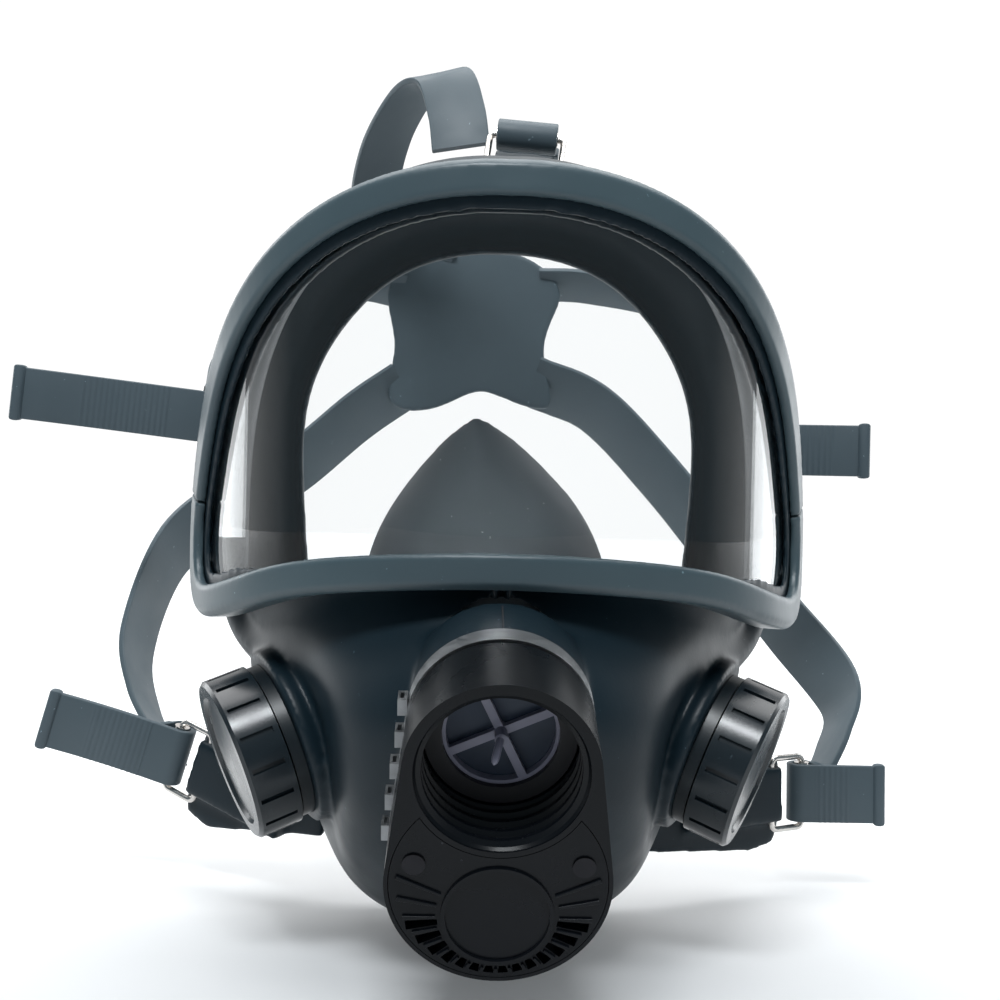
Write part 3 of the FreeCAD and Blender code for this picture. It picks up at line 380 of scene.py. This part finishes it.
def make_parting_line_painted_shade(piece):
    """Fine dark strip down the middle of the neck, where the mould's halves met: painted shade, standing for
    the shadow in the seam's groove.
    """
    spots = []
    for height in range(-14, -31, -1):
        hit, spot, _, _ = piece.ray_cast(Vector((0, -0.3, height * MM)), Vector((0, 1, 0)))
        if hit:
            spots.append(spot / MM)
    path = flowing(spots, 2)
    sections = []
    for index, spot in enumerate(path):
        along = heading(path, index)
        side = Vector((1, 0, 0))
        sections.append(ring(spot, side, side.cross(along), 0.22, 0.16, 0.5, 0.1))
    # The strip takes the dark gasket rubber as painted shade in the groove of the seam.
    strip("neck_parting_line_painted_shade", sections, "mask", "gasket_rubber")


# ---------------------------------------------------------------- straps

def direction(*values):
    return Vector(values).normalized()


def buckle_frame(name):
    """Origin and X, Y, Z axes of a buckle: X along its bars, Y the way the strap pulls, Z out of its front."""
    origin, pull, front = BUCKLES[name][:3]
    forward = direction(*front)
    side = Vector(pull).cross(forward).normalized()
    return Vector(origin), side, forward.cross(side), forward


# Per buckle: its tab bar, which way the strap pulls, which way its front faces, and the loose end's length and
# lift in degrees.
BUCKLES = {
    "top": ((6, -16, 124.0), (0.1, 0.55, 0.83), (0, -0.83, 0.55), 20, -70),
    "temple_left": ((-90, 2, 38), (-0.80, 0.59, 0.13), (-0.55, -0.8, 0), 65, 38),
    "temple_right": ((90, 2, 33), (0.80, 0.59, 0.0), (0.55, -0.8, 0), 28, 44),
    "lower_left": ((-99, 10, -82), (-0.84, 0.43, 0.32), (-0.42, -0.9, 0), 46, 26),
    "lower_right": ((98.5, 10, -87), (0.9, 0.43, 0.02), (0.42, -0.9, 0), 28, 29),
}
# Middle line of each strap from its buckle to the harness pad.
ROUTES = {
    "top": [(-15, 4, 134), (-17, 9, 148), (-22, 17, 162), (-32, 30, 161), (-44, 50, 146), (-48, 72, 128),
            (-36, 95.5, 116), (-22, 100.3, 108)],
    "temple_left": [(-106, 34, 46), (-106, 50, 58), (-98, 70, 76), (-76, 87, 95), (-56, 97, 101),
                    (-39, 100.4, 99)],
    "temple_right": [(106, 34, 40), (106, 50, 54), (96, 70, 74), (70, 87, 94), (38, 97.5, 102),
                     (18, 100.4, 103)],
    "lower_left": [(-126, 36, -62), (-132, 50, -42), (-124, 68, -10), (-104, 84, 10), (-79, 93, 27),
                   (-56, 98, 47), (-38, 100.4, 60)],
    "lower_right": [(126, 34, -72), (131, 46, -56), (115, 68, -32), (93, 84, -4), (68, 93, 26), (42, 98, 52),
                    (16, 100.4, 63)],
}
HEAD = Vector((0, 40, 20))
BAR_REACH, ROLL_INNER, STRAP_THICK = 13.0, 3.0, 2.2
MIDLINE = ROLL_INNER + STRAP_THICK / 2


def flowing(points, per_run=10):
    """Points along a Catmull-Rom curve through the given ones."""
    ends = [points[0] * 2 - points[1]] + points + [points[-1] * 2 - points[-2]]
    result = []
    for before, a, b, after in zip(ends, ends[1:], ends[2:], ends[3:]):
        for step in range(per_run):
            t = step / per_run
            result.append(0.5 * (2 * a + (b - before) * t + (2 * before - 5 * a + 4 * b - after) * t ** 2
                                 + (3 * a - before - 3 * b + after) * t ** 3))
    return result + [points[-1]]


def heading(path, index):
    """Direction of the path at one of its points."""
    return (path[min(index + 1, len(path) - 1)] - path[max(index - 1, 0)]).normalized()


def ring(centre, across, normal, half, above, below, corner=0.45):
    """Closed section of a flat strap with rounded edges."""
    corner = min(corner, (above + below) / 2.2)
    spots = []
    for sx, sz, start in ((1, 1, 0), (-1, 1, 90), (-1, -1, 180), (1, -1, 270)):
        reach = above if sz > 0 else below
        for step in range(4):
            turn = math.radians(start + 30 * step)
            x = sx * (half - corner) + corner * math.cos(turn)
            z = sz * (reach - corner) + corner * math.sin(turn)
            spots.append(centre + across * x + normal * z)
    return spots


def strip(name, sections, body, slot="strap_rubber"):
    """Closed mesh through equal rings of points in millimetres."""
    count = len(sections[0])
    points = [tuple(point * MM) for section in sections for point in section]
    faces = []
    for row in range(len(sections) - 1):
        for step in range(count):
            following = (step + 1) % count
            faces.append((row * count + step, row * count + following,
                          (row + 1) * count + following, (row + 1) * count + step))
    faces.append(tuple(reversed(range(count))))
    faces.append(tuple(range((len(sections) - 1) * count, len(sections) * count)))
    mesh = bpy.data.meshes.new(name)
    mesh.from_pydata(points, [], faces)
    mesh.validate()
    piece = bpy.data.objects.new(name, mesh)
    bpy.context.collection.objects.link(piece)
    mesh.shade_smooth()
    mesh.set_sharp_from_angle(angle=math.radians(50))
    dress(piece, slot)
    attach(piece, body)
    return piece


def half_width(name):
    """Half the width of a strap and its loose end at the buckle."""
    return (17.5 if name.startswith("temple") else 20.0) / 2


def make_strap(name):
    """Band from the back of a buckle's roller round the head to the pad; the lower two widen on the way."""
    origin, side, up, out = buckle_frame(name)
    points = [Vector(point) for point in ROUTES[name]]
    bar, held = side, 0.25
    if name == "top":
        bar, held = direction(0.94, 0, 0.34), 0.8
    else:
        lead = [(BAR_REACH + 3.8, -MIDLINE), (BAR_REACH + 5.2, -MIDLINE), (BAR_REACH + 8, -MIDLINE - 0.4)]
        points = [origin + up * y + out * z for y, z in lead] + points
    path = flowing(points)
    sections, previous = [], bar
    for index, centre in enumerate(path):
        along = heading(path, index)
        across = along.cross((centre - HEAD).normalized())
        if across.dot(previous) < 0:
            across = -across
        share = max(0.0, 1 - index / (len(path) * held))
        across = across.normalized() * (1 - share) + bar * share
        across = (across - along * across.dot(along)).normalized()
        previous = across
        half = half_width(name)
        if name.startswith("lower"):
            half += 2.0 * min(1.0, index / (0.6 * len(path)))
        sections.append(ring(centre, across, across.cross(along), half, STRAP_THICK / 2, STRAP_THICK / 2))
    piece = strip(f"strap_band_{name}", sections, "mask")
    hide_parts(f"strap_{name}")


def make_tail(name):
    """Loose end: half a turn round the roller, a run with grip ribs, and a rounded stop."""
    origin, side, up, out = buckle_frame(name)
    length, lift = BUCKLES[name][3:]
    half, thick, turn = half_width(name), STRAP_THICK / 2, math.radians(lift)
    centre = origin + up * BAR_REACH
    long_end = length > 40
    sections = []

    def add(y, z, ahead_y, ahead_z, wide, above, below):
        along = (up * ahead_y + out * ahead_z).normalized()
        sections.append(ring(centre + up * y + out * z, side, side.cross(along), wide, above, below))

    add(2.2, -MIDLINE, -1, 0, half, thick, thick)
    for step in range(19):
        angle = math.radians(270) - (math.pi - turn) * step / 18
        y, z = MIDLINE * math.cos(angle), MIDLINE * math.sin(angle)
        add(y, z, math.sin(angle), -math.cos(angle), half, thick, thick)
    ribs_from, ribs_to = (0.2, 0.66) if long_end else (0.15, 0.55)
    count = int(length / 0.4)
    for step in range(1, count + 1):
        run = length * step / count
        share = run / length
        sag = 0.03 * length * math.sin(math.pi * share) * (1 if long_end else 0.3)
        y = -MIDLINE * math.sin(turn) + run * math.cos(turn) + sag * math.sin(turn)
        z = MIDLINE * math.cos(turn) + run * math.sin(turn) - sag * math.cos(turn)
        ridge = 0.0
        if ribs_from < share < ribs_to:
            ridge = 0.28 * (0.5 + 0.5 * math.cos(2 * math.pi * run / 1.9))
        stop = max(0.0, 1 - ((run - (length - 2.0)) / 2.0) ** 2) if run > length - 4 else 0.0
        swell = math.sqrt(stop)
        add(y, z, math.cos(turn), math.sin(turn), half + 0.7 * swell, thick + ridge + 1.2 * swell,
            thick + 0.5 * swell)
    piece = strip(f"tail_band_{name}", sections, f"tail_{name}")
    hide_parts(f"strap_tail_{name}")


def make_louvre_ribs():
    """Thin raised edges between the slots of the exhalation cover, from its disc to its rim."""
    front = Vector((0, -math.cos(HOUSING_TILT), -math.sin(HOUSING_TILT)))
    up = Vector((0, -math.sin(HOUSING_TILT), math.cos(HOUSING_TILT)))
    middle = HOUSING_ORIGIN - up * COVER_DROP
    for number in range(19):
        turn = math.radians(188 + 164 * (number - 2.5) / 13)
        spoke = Vector((1, 0, 0)) * math.cos(turn) + up * math.sin(turn)
        rise = RIM_RISE * math.sin(turn)
        reach = rise + math.sqrt(rise ** 2 - RIM_RISE ** 2 + RIM_RADIUS ** 2)
        side = spoke.cross(front)
        sections = [ring(middle + spoke * (DISC_RADIUS + (reach - DISC_RADIUS) * share), side, front,
                         0.3 + 0.25 * share, 0.7, 0.1, 0.2) for share in (0.0, 0.05, 0.5, 0.95, 1.0)]
        strip(f"louvre_rib_{number + 1}", sections, "mask", "housing_plastic")


def make_valve_tail():
    """Pull tail of the inhalation valve, which hangs out of the port towards the viewer."""
    low, high = (Vector(corner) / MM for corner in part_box("inhalation_valve_seat"))
    centre = (low + high) / 2
    root = Vector((centre.x - 0.3, low.y + 0.6, centre.z - 1.5))
    path = flowing([root, root + Vector((-0.6, -2.2, -2.0)), root + Vector((-1.5, -4.0, -5.4))], 6)
    sections = []
    for index, spot in enumerate(path):
        along = heading(path, index)
        side = along.cross(Vector((0, 1, 0.3))).normalized()
        left = (len(path) - 1 - index) / 3
        half = 0.95 * (math.sqrt(max(0.0, 1 - (1 - left) ** 2)) if left < 1 else 1.0) + 0.05
        sections.append(ring(spot, side, side.cross(along), half, half, half, half * 0.98))
    strip("inhalation_valve_tail", sections, "mask", "valve_plastic")


def make_harness():
    """Five straps, their loose ends and the pad they meet on."""
    for name in BUCKLES:
        make_strap(name)
        make_tail(name)
    softened("harness_pad", "pad_sheet", "strap_rubber", 0.9, 3)


make_camera()
make_stage()
dress_nodes()
softened("frame_upper", "frame_upper_moulding", "frame_plastic", 0.6, 7)
lower_rim = softened("frame_lower", "frame_lower_moulding", "frame_plastic", 0.6, 7)
moulding = softened("facepiece", "facepiece_moulding", "mask_rubber", 0.9, 22, channel_weight)
tucked(moulding, lower_rim)
make_parting_line_painted_shade(moulding)
softened("nose_cup", "nose_cup_moulding", "cup_rubber", 0.9, 20, cup_weight)
make_harness()
make_valve_tail()
make_louvre_ribs()
